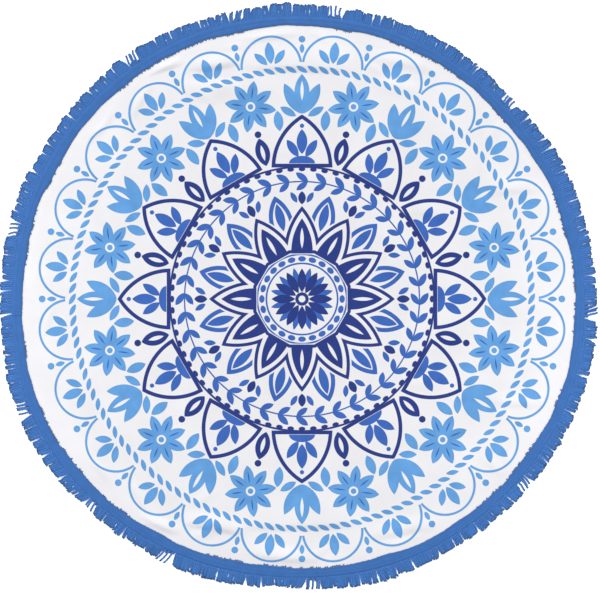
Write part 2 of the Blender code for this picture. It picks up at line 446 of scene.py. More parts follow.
facing_up = np.array([face.normal.z > FACING_UP for face in panel.data.polygons])
for face, up in zip(panel.data.polygons, facing_up):
    face.material_index = 0 if up else 1
bake_map = panel.data.uv_layers.new(name="OFBake")
corners = np.empty(len(panel.data.loops), int)
panel.data.loops.foreach_get("vertex_index", corners)
loop_up = np.repeat(facing_up, [face.loop_total for face in panel.data.polygons])[:, None]
spread = solid[corners, :2] / OUTER_RADIUS
on_top = MAP_MIDDLE + MAP_RADIUS * spread
below = UNDERSIDE_PLACE + UNDERSIDE_RADIUS * spread * (-1, 1)
bake_map.data.foreach_set("uv", np.where(loop_up, on_top, below).ravel())
print("printed faces:", facing_up.sum(), "of", len(facing_up))

# %% [markdown]
# ## Nodes made easy
# A material is a small program. The functions here add one node each and hand back its output, so the
# cells below read as formulas. An output knows the node tree that it is in, so only a node without any
# input from another is told its tree. A node group is a function of nodes: it is built once, with named
# inputs and outputs, and then placed wherever its effect is needed.

# %% Helpers for materials
NUMBER, VECTOR = "NodeSocketFloat", "NodeSocketVector"


def add_node(tree, kind, inputs=None, **settings):
    """One node, with its inputs given as plain values or as other nodes' outputs."""
    node = tree.nodes.new("ShaderNode" + kind)
    for name, value in settings.items():
        setattr(node, name, value)
    for name, value in (inputs or {}).items():
        if isinstance(value, bpy.types.NodeSocket):
            tree.links.new(value, node.inputs[name])
        else:
            node.inputs[name].default_value = value
    return node


def calc(operation, *values):
    """One Math node's output."""
    tree = next(value.id_data for value in values if isinstance(value, bpy.types.NodeSocket))
    return add_node(tree, "Math", dict(enumerate(values)), operation=operation).outputs[0]


def sum_of_squares(first, second):
    return calc("ADD", calc("MULTIPLY", first, first), calc("MULTIPLY", second, second))


def map_range(value, from_low=0.0, from_high=1.0, to_low=0.0, to_high=1.0):
    """Turns one range of a value into another, and stops at its ends."""
    limits = dict(enumerate((value, from_low, from_high, to_low, to_high)))
    return add_node(value.id_data, "MapRange", limits).outputs[0]


def noise_of(position, scale, detail):
    inputs = {"Vector": position, "Scale": scale, "Detail": detail}
    return add_node(position.id_data, "TexNoise", inputs).outputs[0]


def parts_of(vector):
    """A vector's x, y and z."""
    return add_node(vector.id_data, "SeparateXYZ", {0: vector}).outputs


def measured_from(place, vector):
    return add_node(vector.id_data, "VectorMath", {0: vector, 1: place}, operation="SUBTRACT").outputs[0]


def shaded(colour, shade):
    """A colour made darker, or brighter above 1."""
    inputs = {0: colour, "Scale": shade}
    return add_node(shade.id_data, "VectorMath", inputs, operation="SCALE").outputs[0]


def mix_colours(share, first, second):
    """The first colour where the share is 0, the second where it is 1."""
    first, second = ((*c, 1.0) if isinstance(c, tuple) else c for c in (first, second))
    return add_node(share.id_data, "Mix", {0: share, 6: first, 7: second}, data_type="RGBA").outputs[2]


def new_group(name, inputs, outputs):
    """A shader node group. inputs are names with a default, outputs are names with a socket kind."""
    group = bpy.data.node_groups.new(name, "ShaderNodeTree")
    for label, default in inputs.items():
        kind = VECTOR if isinstance(default, tuple) else NUMBER
        socket = group.interface.new_socket(name=label, in_out="INPUT", socket_type=kind)
        socket.default_value = default
    for label, kind in outputs.items():
        group.interface.new_socket(name=label, in_out="OUTPUT", socket_type=kind)
    given = group.nodes.new("NodeGroupInput").outputs
    result = group.nodes.new("NodeGroupOutput").inputs
    return group, given, result


def use_group(tree, group, inputs):
    return add_node(tree, "Group", inputs, node_tree=group).outputs


def new_material(name, roughness, sheen, specular=0.25):
    """A cloth material, its node tree and its surface."""
    material = bpy.data.materials.new(name)
    material.use_nodes = True
    surface = material.node_tree.nodes["Principled BSDF"]
    set_inputs(surface, {
        "Roughness": roughness, "Specular IOR Level": specular,
        "Sheen Weight": sheen, "Sheen Roughness": 0.5,
    })
    return material, material.node_tree, surface


def finish_surface(surface, colour, relief, depth, strength=0.5):
    """Gives a surface its colour, and a fine relief of this depth."""
    tree = surface.id_data
    bump = add_node(tree, "Bump", {"Height": relief, "Strength": strength, "Distance": depth})
    tree.links.new(colour, surface.inputs["Base Color"])
    tree.links.new(bump.outputs[0], surface.inputs["Normal"])


# %% [markdown]
# ## The print
# A mandala is one slice of a drawing, repeated round a middle. So the print isn't drawn whole: one group
# folds the cloth's coordinates into a slice, and small groups say how far a point is from a leaf, an oval
# or an arch. Below zero is inside the shape and takes ink. A picture file would be quicker, but formulas
# stay sharp at any size, and anyone can change a row and get another towel.

# %% Groups for the print
def make_repeat_round():
    """Folds a plane into one of many equal slices, whole or with its halves laid on one another."""
    tree, given, result = new_group(
        "repeat_round",
        {"Vector": (0.0, 0.0, 0.0), "Count": 12.0, "Turn": 0.0},
        {"Whole": VECTOR, "Mirrored": VECTOR},
    )
    x, y, _ = parts_of(given["Vector"])
    radius = calc("SQRT", sum_of_squares(x, y))
    angle = calc("SUBTRACT", calc("ARCTAN2", y, x), given["Turn"])
    half_slice = calc("DIVIDE", math.pi, given["Count"])
    angle = calc("WRAP", angle, half_slice, calc("MULTIPLY", half_slice, -1.0))
    out = calc("MULTIPLY", radius, calc("COSINE", angle))
    side = calc("MULTIPLY", radius, calc("SINE", angle))
    for label, aside in (("Whole", side), ("Mirrored", calc("ABSOLUTE", side))):
        tree.links.new(add_node(tree, "CombineXYZ", {0: out, 1: aside}).outputs[0], result[label])
    return tree


def distance_to_leaf(out, side, long, wide):
    """A leaf is where two equal circles overlap."""
    circle = calc("DIVIDE", sum_of_squares(long, wide), calc("MULTIPLY", wide, 2.0))
    side = calc("ADD", calc("ABSOLUTE", side), calc("SUBTRACT", circle, wide))
    return calc("SUBTRACT", calc("SQRT", sum_of_squares(out, side)), circle)


def distance_to_oval(out, side, long, wide):
    """An oval is a circle that was stretched."""
    share = calc("SQRT", sum_of_squares(calc("DIVIDE", out, long), calc("DIVIDE", side, wide)))
    return calc("MULTIPLY", calc("SUBTRACT", share, 1.0), calc("MINIMUM", long, wide))


def make_shape(name, distance_to, cut_flat):
    """A shape's group. A cut one keeps only its outer half, so a leaf becomes an arch, an oval a dome."""
    tree, given, result = new_group(
        name,
        {"Vector": (0.0, 0.0, 0.0), "Half Length": 0.02, "Half Width": 0.01},
        {"Distance": NUMBER},
    )
    out, side, _ = parts_of(given["Vector"])
    measured = distance_to(out, side, given["Half Length"], given["Half Width"])
    if cut_flat:
        measured = calc("MAXIMUM", measured, calc("MULTIPLY", out, -1.0))
    tree.links.new(measured, result["Distance"])
    return tree


repeat_round = make_repeat_round()
SHAPES = {
    name: make_shape(name, distance_to, cut_flat)
    for name, distance_to, cut_flat in (
        ("leaf", distance_to_leaf, False),
        ("oval", distance_to_oval, False),
        ("arch", distance_to_leaf, True),
        ("dome", distance_to_oval, True),
    )
}
print("shapes for the print:", sorted(SHAPES))

# %% [markdown]
# ## The drawing
# Every row prints one motif, later rows over earlier ones. A ground says how often it repeats, and from
# which turn. Its own place in the slice is a radius, a distance to both sides (aside) and a tilt. Without
# a distance it isn't mirrored, so it leans one way all round. A row with a line is drawn as an outline of
# twice that width. Cloth-coloured rows leave the white bare.

# %% The table of motifs
Ground = namedtuple("Ground", "count turn_deg on_ground radius", defaults=(None, 0))
GROUNDS = {
    "twelve": Ground(12, 0),
    "between": Ground(12, 15),
    "border": Ground(24, 7.5),
    "points": Ground(24, 0),
    "garland": Ground(40, 0),
    "beads": Ground(72, 0),
    "rope": Ground(132, 0),
    "daisy": Ground(8, 22.5, "between", 0.503),
}
Motif = namedtuple(
    "Motif", "ink shape ground radius aside tilt_deg half_length half_width line", defaults=(0,)
)
PRINT = [Motif(*row) for row in (
    # rosette in the middle
    ("mid", "leaf", "between", 0.056, 0, 0, 0.025, 0.0075),
    ("navy", "leaf", "twelve", 0.047, 0, 0, 0.03, 0.0108),
    ("navy", "oval", "twelve", 0.0, 0, 0, 0.017, 0.017),
    ("cloth", "oval", "twelve", 0.0, 0, 0, 0.0085, 0.0085),
    # string of beads
    ("mid", "ring", None, 0.09, 0, 0, 0, 0, 0.0022),
    ("mid", "oval", "points", 0.1015, 0, 0, 0.0068, 0.0098),
    ("mid", "ring", None, 0.113, 0, 0, 0, 0, 0.0022),
    # lotus ring
    ("mid", "leaf", "between", 0.2, 0, 0, 0.069, 0.03),
    ("cloth", "leaf", "between", 0.199, 0, 0, 0.054, 0.0195),
    ("mid", "leaf", "between", 0.213, 0, 0, 0.036, 0.0115),
    ("cloth", "arch", "twelve", 0.113, 0, 0, 0.127, 0.051),
    ("navy", "arch", "twelve", 0.115, 0, 0, 0.12, 0.0455, 0.0042),
    ("navy", "arch", "twelve", 0.122, 0, 0, 0.082, 0.027),
    ("cloth", "leaf", "twelve", 0.154, 0, 0, 0.026, 0.0045),
    ("navy", "leaf", "twelve", 0.256, 0, 0, 0.0165, 0.0095),
    ("mid", "leaf", "twelve", 0.257, 0.0205, 32, 0.0155, 0.0068),
    # laurel garland, and a beaded ring outside it
    ("mid", "ring", None, 0.297, 0, 0, 0, 0, 0.0018),
    ("mid", "leaf", "garland", 0.3085, None, 54, 0.019, 0.0082),
    ("mid", "leaf", "garland", 0.2855, None, -54, 0.0175, 0.0076),
    ("navy", "ring", None, 0.334, 0, 0, 0, 0, 0.0026),
    ("navy", "oval", "beads", 0.3285, 0, 0, 0.0055, 0.0085),
    # arches with a palmette
    ("navy", "arch", "twelve", 0.3325, 0, 0, 0.134, 0.077, 0.0048),
    ("mid", "dome", "twelve", 0.343, 0, 0, 0.019, 0.033),
    ("mid", "leaf", "twelve", 0.398, 0, 0, 0.0315, 0.0135),
    ("mid", "leaf", "twelve", 0.381, 0.0235, 34, 0.026, 0.0105),
    ("mid", "oval", "twelve", 0.438, 0, 0, 0.0055, 0.0055),
    ("navy", "leaf", "between", 0.384, 0, 0, 0.036, 0.018),
    ("cloth", "leaf", "between", 0.382, 0, 0, 0.02, 0.005),
    ("navy", "oval", "between", 0.43, 0, 0, 0.0085, 0.0085),
    # daisies and tulips
    ("sky", "leaf", "daisy", 0.0355, 0, 0, 0.03, 0.0132),
    ("sky", "oval", "daisy", 0.0, 0, 0, 0.02, 0.02),
    ("cloth", "oval", "daisy", 0.0, 0, 0, 0.012, 0.012),
    ("sky", "oval", "daisy", 0.0, 0, 0, 0.007, 0.007),
    ("mid", "leaf", "daisy", 0.035, 0, 0, 0.015, 0.0018),
    ("sky", "leaf", "twelve", 0.523, 0, 0, 0.046, 0.019),
    ("sky", "leaf", "twelve", 0.508, 0.027, 26, 0.041, 0.0145),
    ("sky", "oval", "twelve", 0.481, 0, 0, 0.012, 0.016),
    ("cloth", "leaf", "twelve", 0.527, 0, 0, 0.025, 0.0042),
    ("sky", "leaf", "twelve", 0.474, 0.035, 60, 0.023, 0.0095),
    ("sky", "leaf", "border", 0.454, 0, 0, 0.026, 0.012),
    # rope and scalloped border, whose arcs stay open at the foot
    ("sky", "leaf", "rope", 0.5805, None, 60, 0.0165, 0.006),
    ("sky", "dome", "border", 0.594, 0, 0, 0.077, 0.078),
    ("cloth", "dome", "border", 0.5925, 0, 0, 0.073, 0.0722),
    ("sky", "leaf", "border", 0.627, 0, 0, 0.028, 0.012),
    ("sky", "leaf", "border", 0.614, 0.024, 42, 0.022, 0.009),
    ("sky", "oval", "points", 0.657, 0, 0, 0.0085, 0.0085),
    ("sky", "leaf", "points", 0.633, 0, 0, 0.012, 0.006),
)]
print(len(PRINT), "motifs on", len(GROUNDS), "grounds")

# %% [markdown]
# ## Velour and print together
# The inks sink into the pile, so their edges are a little soft and rough, and they are a touch darker
# along the edge where the ink gathers. The pile itself is fine noise in the bump. Where the pile leans one
# way or the other it catches the light differently, and that is painted sheen: the whole face's colour
# drifts by a few hundredths, and the inks' colour changes in slow blotches.

# %% The velour material
INKS = {
    "cloth": (0.858, 0.856, 0.886),
    "navy": (0.0235, 0.0475, 0.2420),
    "mid": (0.0480, 0.1430, 0.5080),
    "sky": (0.1300, 0.3600, 0.7360),
}
PRINT_MIDDLE = (302.0, 299.0)  # in photo pixels
EDGE_SOFTNESS = 0.0011
EDGE_ROUGHNESS = 0.0011
GATHERED_WIDTH = 0.0026  # along an ink's edge
GATHERED_SHADE = 0.86
ROUGH_SCALE = 520.0
PILE_SCALE = 850.0
PILE_DEPTH = 0.0006
NOISE_RANGE = (0.3, 0.7)  # which a noise texture hardly leaves
Mottle = namedtuple("Mottle", "scale detail darkest brightest")
INK_SHEEN_BLOTCHES = Mottle(30.0, 3.0, 0.92, 1.08)  # painted sheen of the leaning pile, on the inks
# painted sheen of the leaning pile, over the whole face
PILE_SHEEN_DRIFT = Mottle(9.0, 3.0, 0.965, 1.03)


def mottled(position, mottle):
    """A shade that drifts over the surface."""
    drift = noise_of(position, mottle.scale, mottle.detail)
    return map_range(drift, *NOISE_RANGE, mottle.darkest, mottle.brightest)


velour, tree, surface = new_material("velour_print", roughness=1.0, sheen=0.12)
position = add_node(tree, "TexCoord").outputs["Object"]
centred = measured_from((*photo_place(*PRINT_MIDDLE), 0.0), position)
slices = {}
for name, ground in GROUNDS.items():
    start = slices[ground.on_ground]["Whole"] if ground.on_ground else centred
    slices[name] = use_group(tree, repeat_round, {
        "Vector": measured_from((ground.radius, 0.0, 0.0), start),
        "Count": ground.count,
        "Turn": math.radians(ground.turn_deg),
    })
x, y, _ = parts_of(centred)
from_middle = calc("SQRT", sum_of_squares(x, y))


def motif_distance(motif):
    """How far a point of the cloth is outside this motif."""
    if motif.shape == "ring":
        from_ring = calc("ABSOLUTE", calc("SUBTRACT", from_middle, motif.radius))
        return calc("SUBTRACT", from_ring, motif.line)
    local = add_node(tree, "Mapping", {
        "Vector": slices[motif.ground]["Whole" if motif.aside is None else "Mirrored"],
        "Location": (motif.radius, motif.aside or 0.0, 0.0),
        "Rotation": (0.0, 0.0, math.radians(motif.tilt_deg)),
    }, vector_type="TEXTURE").outputs[0]
    shape = use_group(tree, SHAPES[motif.shape], {
        "Vector": local, "Half Length": motif.half_length, "Half Width": motif.half_width,
    })[0]
    if motif.line:
        shape = calc("SUBTRACT", calc("ABSOLUTE", calc("ADD", shape, motif.line)), motif.line)
    return shape


fuzz = calc("MULTIPLY", calc("SUBTRACT", noise_of(position, ROUGH_SCALE, 2.0), 0.5), EDGE_ROUGHNESS)
ink_sheen_blotches = mottled(position, INK_SHEEN_BLOTCHES)
colour = INKS["cloth"]
for ink, motifs in groupby(PRINT, lambda motif: motif.ink):
    nearest, *others = [motif_distance(motif) for motif in motifs]
    for other in others:
        nearest = calc("MINIMUM", nearest, other)
    rough = calc("ADD", nearest, fuzz)
    soaked = INKS[ink]
    if ink != "cloth":
        gathered = map_range(rough, -GATHERED_WIDTH, 0.0, 1.0, GATHERED_SHADE)
        soaked = shaded(soaked, calc("MULTIPLY", gathered, ink_sheen_blotches))
    inked = map_range(rough, EDGE_SOFTNESS / 2, -EDGE_SOFTNESS / 2)
    colour = mix_colours(inked, colour, soaked)

# painted sheen where the pile leans, over print and cloth alike
toned = shaded(colour, mottled(position, PILE_SHEEN_DRIFT))
finish_surface(surface, toned, noise_of(position, PILE_SCALE, 2.0), PILE_DEPTH)
panel.data.materials.append(velour)
print("velour: nodes", len(tree.nodes))

# %% [markdown]
# ## The looped underside
# Uncut loops stand close together, one every millimetre and a half. Small round cells make them, and their
# height goes to the bump. The gaps between the loops are painted darker, as painted shade.

# %% The underside's material
LOOP_SCALE = 620.0
LOOP_JITTER = 0.7
LOOP_EDGE = 0.8  # from a cell's middle, as a share of its width
LOOP_DEPTH = 0.0008
LOOP_STRENGTH = 0.8
TERRY_TOP = (0.93, 0.925, 0.945)
# painted shade in the gaps between the loops
TERRY_GAP_SHADE = (0.80, 0.80, 0.83)

terry, tree, surface = new_material("terry_loops", roughness=1.0, sheen=0.15)
position = add_node(tree, "TexCoord").outputs["Object"]
cell_inputs = {"Vector": position, "Scale": LOOP_SCALE, "Randomness": LOOP_JITTER}
cells = add_node(tree, "TexVoronoi", cell_inputs).outputs[0]
finish_surface(
    surface, mix_colours(cells, TERRY_TOP, TERRY_GAP_SHADE), map_range(cells, 0.0, LOOP_EDGE, 1.0, 0.0),
    LOOP_DEPTH, LOOP_STRENGTH,
)
panel.data.materials.append(terry)
print("materials on the panel:", len(panel.data.materials))

# %% [markdown]
# ## The tape
# The trim's heading is woven: thick yarns run across it, side by side, and sewing presses them down in two
# rows. Half its section could be mirrored, but it isn't the same at both edges, so one profile is grown
# outwards ring by ring from a circle and bridged shut underneath. Each rib is a real ridge.
# A flat tape sewn round a curve never lies quite true, so its inner edge wanders by a millimetre or two.
# Where the trim's two ends meet, one lies over the other.

# %% The tape's mesh
RIB_PITCH = 0.0024
RIB_HEIGHT = 0.00022
RIB_SINK = 0.35  # how much of that lies below the flat tape
RIB_LOST = 0.6  # how much of it sewing presses flat
CORNERS_PER_RIB = 3
RIBS = 2 * round(math.pi * EDGE_RADIUS / RIB_PITCH)
TAPE_BOTTOM, TAPE_TOP = tape_low.z, tape_high.z
TAPE_MIDDLE = (TAPE_BOTTOM + TAPE_TOP) / 2
SEWING_ROWS = (-0.0128, -0.0028)  # beyond the cloth's edge, so both lie on the cloth
SEWING_WIDTH = 0.0013
SEWING_DEPTH = 0.00012
TRIM_JOINT = math.radians(183)
LAP_HALF = 0.007
LAP_HEIGHT = 0.0007
LAP_SOFTNESS = 0.0015
INNER_WAVES = (
    (1, 0.0012, 8), (10, 0.0008, -146), (13, 0.0006, 14), (16, 0.0012, 61),
    (21, 0.0008, 124), (29, 0.0006, -60), (43, 0.0006, 20), (67, 0.0004, 100),
)
TAPE_PROFILE = (
    # beyond the cloth's edge, and height
    (-0.0166, TAPE_BOTTOM),
    (-0.0170, TAPE_TOP - 0.0007),
    *((across, TAPE_TOP) for across in (-0.0160, -0.0141, -0.0128, -0.0115, -0.0041, -0.0028, -0.0015)),
    (0.0054, TAPE_TOP - 0.0001),
    (0.0070, TAPE_TOP - 0.0006),
    (0.0066, TAPE_BOTTOM),
)

ring_radii = [EDGE_RADIUS + across for across, height in TAPE_PROFILE]
tape = start_ring("tape", RIBS * CORNERS_PER_RIB, ring_radii[0])
extrude_rings(ring_radii, [height for across, height in TAPE_PROFILE])
select_open_edges()
bpy.ops.mesh.bridge_edge_loops()
finish_ring()


def within_half_turn(angle):
    """The same direction, given as less than half a turn either way."""
    return (angle + math.pi) % math.tau - math.pi


def lap_lift(angle):
    """How far the tape is lifted where the trim's ends meet."""
    away = abs(within_half_turn(angle - TRIM_JOINT)) * EDGE_RADIUS
    return LAP_HEIGHT * smooth_step((LAP_HALF - away) / LAP_SOFTNESS)


def rib_wave(angle):
    """0 between two ribs, 1 on a rib."""
    return np.clip(2 * abs(np.cos(angle * RIBS / 2)) - 1, 0, 1)


def tape_wander(angle, across):
    """How far the tape is off its even place: most at its inner edge, and nothing at the cloth's."""
    return wave_height(INNER_WAVES, angle) * smooth_step(-across / TAPE_INSIDE)


def lay_tape(points):
    angle = np.arctan2(points[:, 1], points[:, 0])
    across = np.hypot(points[:, 0], points[:, 1]) - EDGE_RADIUS
    pressed = sum(smooth_step(1 - abs(across - row) / SEWING_WIDTH) for row in SEWING_ROWS)
    relief = RIB_HEIGHT * (rib_wave(angle) - RIB_SINK) * (1 - RIB_LOST * pressed) - SEWING_DEPTH * pressed
    relief += lap_lift(angle)
    laid = points.copy()
    laid[:, :2] = around_edge(angle, across + tape_wander(angle, across)) - MIDDLE
    laid[:, 2] += np.where(points[:, 2] > TAPE_MIDDLE, relief, 0.0)
    return laid


move_points(tape.data, lay_tape(points_of(tape.data)))
tape.data.shade_smooth()
print("tape:", RIBS, "ribs,", triangles_of(tape), "triangles")

# %% [markdown]
# ## One small piece, many times
# Loops, stitches and yarns are each modelled once, as a few dozen faces along the X axis. Thousands of
# objects would be slow to handle, so their copies are joined in one mesh, and a function bends all the
# copies' points at once to where they go. Each thread brings a map, so that a twist can follow it.

# %% Helpers for copies
def map_thread(mesh):
    """A map for a thread along X: its share of the length, and its turn round from 0 to 1."""
    points = points_of(mesh)
    rows = []
    for face in mesh.polygons:
        middle = math.atan2(face.center.z, face.center.y)
        for corner in face.vertices:
            turn = math.atan2(points[corner, 2], points[corner, 1])
            rows.append((points[corner, 0], (middle + within_half_turn(turn - middle)) / math.tau))
    for layer in list(mesh.uv_layers):
        mesh.uv_layers.remove(layer)
    mesh.uv_layers.new(name="along").data.foreach_set("uv", np.array(rows).ravel())


def model_thread(sides, stations):
    """A thread one unit long and two thick along X, cut across at these shares of its length."""
    bpy.ops.object.select_all(action="DESELECT")
    bpy.ops.mesh.primitive_cylinder_add(
        vertices=sides, radius=1.0, depth=1.0, location=(0.5, 0.0, 0.0), rotation=(0.0, math.pi / 2, 0.0)
    )
    bpy.ops.object.transform_apply(location=True, rotation=True)
    thread = bpy.context.object
    bpy.ops.object.mode_set(mode="EDIT")
    bpy.ops.mesh.select_all(action="DESELECT")
    bpy.ops.object.mode_set(mode="OBJECT")
    ends = points_of(thread.data)[:, 0]
    for edge in thread.data.edges:
        first, last = edge.vertices
        edge.select = abs(ends[first] - ends[last]) > 0.5
    bpy.ops.object.mode_set(mode="EDIT")
    bpy.ops.mesh.subdivide(number_cuts=len(stations) - 2)
    bpy.ops.object.mode_set(mode="OBJECT")
    points = points_of(thread.data)
    points[:, 0] = np.interp(points[:, 0], np.linspace(0, 1, len(stations)), stations)
    move_points(thread.data, points)
    map_thread(thread.data)
    return thread


def join_copies(name, pattern, placed, tones=0.5):
    """One mesh of copies of a pattern, whose points are given copy by copy, and a tone for each copy."""
    copies, size = placed.shape[:2]
    faces = [tuple(face.vertices) for face in pattern.data.polygons]
    all_faces = [tuple(v + size * k for v in face) for k in range(copies) for face in faces]
    mesh = bpy.data.meshes.new(name)
    mesh.from_pydata(placed.reshape(-1, 3), [], all_faces)
    along = np.empty(2 * len(pattern.data.loops))
    pattern.data.uv_layers["along"].data.foreach_get("uv", along)
    mesh.uv_layers.new(name="along").data.foreach_set("uv", np.tile(along, copies))
    tone = mesh.attributes.new("tone", "FLOAT", "POINT")
    tone.data.foreach_set("value", np.repeat(np.broadcast_to(tones, copies), size))
    mesh.shade_smooth()
    piece = bpy.data.objects.new(name, mesh)
    bpy.context.scene.collection.objects.link(piece)
    return piece


def around(angle, beyond, height):
    """Points on the towel from an angle, a distance beyond the cloth's edge and a height."""
    angle, beyond, height = np.broadcast_arrays(angle, beyond, height)
    return np.concatenate([around_edge(angle, beyond) - MIDDLE, height[..., None]], axis=-1)


# %% [markdown]
# ## The turned loops
# At the tape's inner edge each thick yarn turns back into its neighbour, so the edge is a row of small
# loops and not a cut line. Half a torus is one loop. Along some stretches the loops lie close and barely
# show, and along others every second or third one stands out.

# %% The loops
LOOP_THICKNESS = 0.00072  # radius of the yarn in the loop
LOOP_RADIUS = 0.0015
LOOP_TUCK = 0.0004  # how far its middle is under the tape
CLOSE_REACH = (0.3, 0.9)  # shortest and longest, as shares of the radius
PROUD_REACH = (1.6, 2.6)
PROUD_SHARE = 0.50  # of the loops along a loose stretch
STRETCH_WAVES = ((7, 1.0, 70), (17, 0.8, -20), (29, 0.6, 150))

chance = np.random.default_rng(5)
bpy.ops.object.select_all(action="DESELECT")
bpy.ops.mesh.primitive_torus_add(
    major_segments=10, minor_segments=5, major_radius=LOOP_RADIUS, minor_radius=LOOP_THICKNESS
)
loop = bpy.context.object
bpy.ops.object.mode_set(mode="EDIT")
bpy.ops.mesh.select_all(action="SELECT")
bpy.ops.mesh.bisect(plane_co=(0, 0, 0), plane_no=(1, 0, 0), use_fill=True, clear_outer=True)
bpy.ops.object.mode_set(mode="OBJECT")
map_thread(loop.data)

loops = RIBS // 2
shape = points_of(loop.data)[None]
loop_angle = (np.arange(loops)[:, None] + 0.5) * math.tau / loops
loose = wave_height(STRETCH_WAVES, loop_angle) > 0
proud = loose & (chance.random((loops, 1)) < PROUD_SHARE)
reach = np.where(proud, chance.uniform(*PROUD_REACH, (loops, 1)), chance.uniform(*CLOSE_REACH, (loops, 1)))
beyond = LOOP_TUCK - TAPE_INSIDE + tape_wander(loop_angle, -TAPE_INSIDE) + shape[..., 0] * reach
placed = around(loop_angle + shape[..., 1] / EDGE_RADIUS, beyond, TAPE_MIDDLE + shape[..., 2])
edge_loops = join_copies("edge_loops", loop, placed, chance.random(loops))
bpy.data.objects.remove(loop)
print("loops:", loops, "of which", proud.sum(), "stand out, with", triangles_of(edge_loops), "triangles")

# %% [markdown]
# ## The sewing
# Two rows of straight stitches hold the tape through the hem. On top they lie in the pressed rows, and
# below their other thread lies in the groove under the cloth. A few stitches across close the lap where
# the trim's ends meet.

# %% The stitches
STITCH_PITCH = 0.0032
STITCH_SHARE = 0.86  # of the pitch that the thread covers
STITCH_STATIONS = (0.0, 0.5, 1.0)
THREAD_RADIUS = 0.00034
PULLED_IN = 0.6  # of that, at a stitch's ends
STITCH_ARCH = 0.00022
STITCH_HEIGHT = TAPE_TOP - 0.0001
UNDER_STITCH_HEIGHT = 0.00042
LAP_STITCHES = 9  # along each end
LAP_STITCH_INSET = 0.0012  # from that end
LAP_STITCH_MARGIN = 0.0015  # from the tape's edges


def thread_swell(shape):
    """A stitch's rise along its length, from 0 up to 1 and back, and its thread's radius there."""
    swell = np.sin(math.pi * shape[..., 0])
    return swell, THREAD_RADIUS * (PULLED_IN + (1 - PULLED_IN) * swell)


def stitch_row(shape, across, height, on_top):
    """The points of one row of stitches. Those on top are arched, and go where the tape goes."""
    count = round(math.tau * EDGE_RADIUS / STITCH_PITCH)
    swell, thick = thread_swell(shape)
    run = np.arange(count)[:, None] * STITCH_PITCH + shape[..., 0] * STITCH_PITCH * STITCH_SHARE
    angle = run / EDGE_RADIUS
    level = height + on_top * lap_lift(angle) + on_top * STITCH_ARCH * swell + shape[..., 2] * thick
    return around(angle, across + on_top * tape_wander(angle, across) + shape[..., 1] * thick, level)


def lap_stitches(shape):
    """Stitches straight across the tape, along both ends of the lap."""
    swell, thick = thread_swell(shape)
    ends = np.repeat([-1.0, 1.0], LAP_STITCHES)[:, None] * (LAP_HALF - LAP_STITCH_INSET) / EDGE_RADIUS
    step = (TAPE_OUTSIDE + TAPE_INSIDE - 2 * LAP_STITCH_MARGIN) / LAP_STITCHES
    start = -TAPE_INSIDE + LAP_STITCH_MARGIN + np.tile(np.arange(LAP_STITCHES), 2)[:, None] * step
    angle = TRIM_JOINT + ends + shape[..., 1] * thick / EDGE_RADIUS
    level = TAPE_TOP + LAP_HEIGHT + STITCH_ARCH * swell + shape[..., 2] * thick
    return around(angle, start + shape[..., 0] * step * STITCH_SHARE, level)


thread = model_thread(5, STITCH_STATIONS)
shape = points_of(thread.data)[None]
above = [stitch_row(shape, row, STITCH_HEIGHT, True) for row in SEWING_ROWS]
below = [stitch_row(shape, row, UNDER_STITCH_HEIGHT, False) for row in SEWING_ROWS]
stitches = join_copies("stitches", thread, np.concatenate([*above, lap_stitches(shape)]))
under_stitches = join_copies("under_stitches", thread, np.concatenate(below))
bpy.data.objects.remove(thread)
print("stitches:", triangles_of(stitches), "triangles on top and", triangles_of(under_stitches), "below")

# %% [markdown]
# ## One yarn of the fringe
# The fringe is cut from soft yarns of three plies, twisted loosely, which open a little at the cut. Hair
# curves could make them, but they don't export as solid meshes. So a ply is modelled once, and three
# copies of it wind round one another. Below them lies a second layer of yarns that only shows through
# gaps, so its yarns are single threads.

# %% The yarn
PLY_RADIUS = 0.54  # of the yarn's half width
PLY_PLACE = 0.47  # a ply's middle, from the yarn's
PLY_TURNS = 1.7  # along the yarn
TIP_FLARE = 0.30  # how far the plies part at the cut
FLARE_START = 0.86
SHORTER_PLIES = (0.0, 0.012, 0.028)  # of the yarn's length, one for each ply
YarnStation = namedtuple("YarnStation", "share width flatness upper_height lower_height")
YARN_COURSE = [YarnStation(*row) for row in (
    (0.00, 0.80, 0.28, 0.0024, 0.0008),
    (0.13, 0.95, 0.28, 0.0028, 0.0009),
    (0.19, 1.00, 0.34, 0.0035, 0.0011),
    (0.30, 1.00, 0.36, 0.0035, 0.0014),
    (0.60, 1.00, 0.38, 0.0033, 0.0014),
    (0.84, 0.94, 0.50, 0.0031, 0.0014),
    (0.97, 0.82, 0.60, 0.0029, 0.0014),
    (1.00, 0.50, 0.50, 0.0028, 0.0014),
)]
PLY_STATIONS = (0.0, 0.13, 0.19, 0.30, 0.42, 0.54, 0.66, 0.77, 0.87, 0.955, 0.988, 1.0)
THREAD_STATIONS = (0.0, 0.28, 0.60, 0.92, 0.985, 1.0)


def station_value(name, share):
    """A column of the table, between its rows."""
    shares = [row.share for row in YARN_COURSE]
    return np.interp(share, shares, [getattr(row, name) for row in YARN_COURSE])


def wind_plies(points):
    """Copies of a ply's points, wound round the X axis."""
    share = points[:, 0]
    thick = points[:, 1:] * PLY_RADIUS * station_value("width", share)[:, None]
    place = PLY_PLACE * (1 + TIP_FLARE * smooth_step((share - FLARE_START) / (1 - FLARE_START)))
    plies = []
    for k, shorter in enumerate(SHORTER_PLIES):
        turn = math.tau * (k / len(SHORTER_PLIES) + PLY_TURNS * share)
        aside, up = place * np.cos(turn) + thick[:, 0], place * np.sin(turn) + thick[:, 1]
        plies.append(np.stack([share * (1 - shorter), aside, up], axis=-1))
    return np.array(plies)


ply = model_thread(5, PLY_STATIONS)
plied_yarn = join_copies("plied_yarn", ply, wind_plies(points_of(ply.data)))
plain_yarn = model_thread(6, THREAD_STATIONS)
bpy.data.objects.remove(ply)
print("triangles: upper yarn", triangles_of(plied_yarn), "lower yarn", triangles_of(plain_yarn))
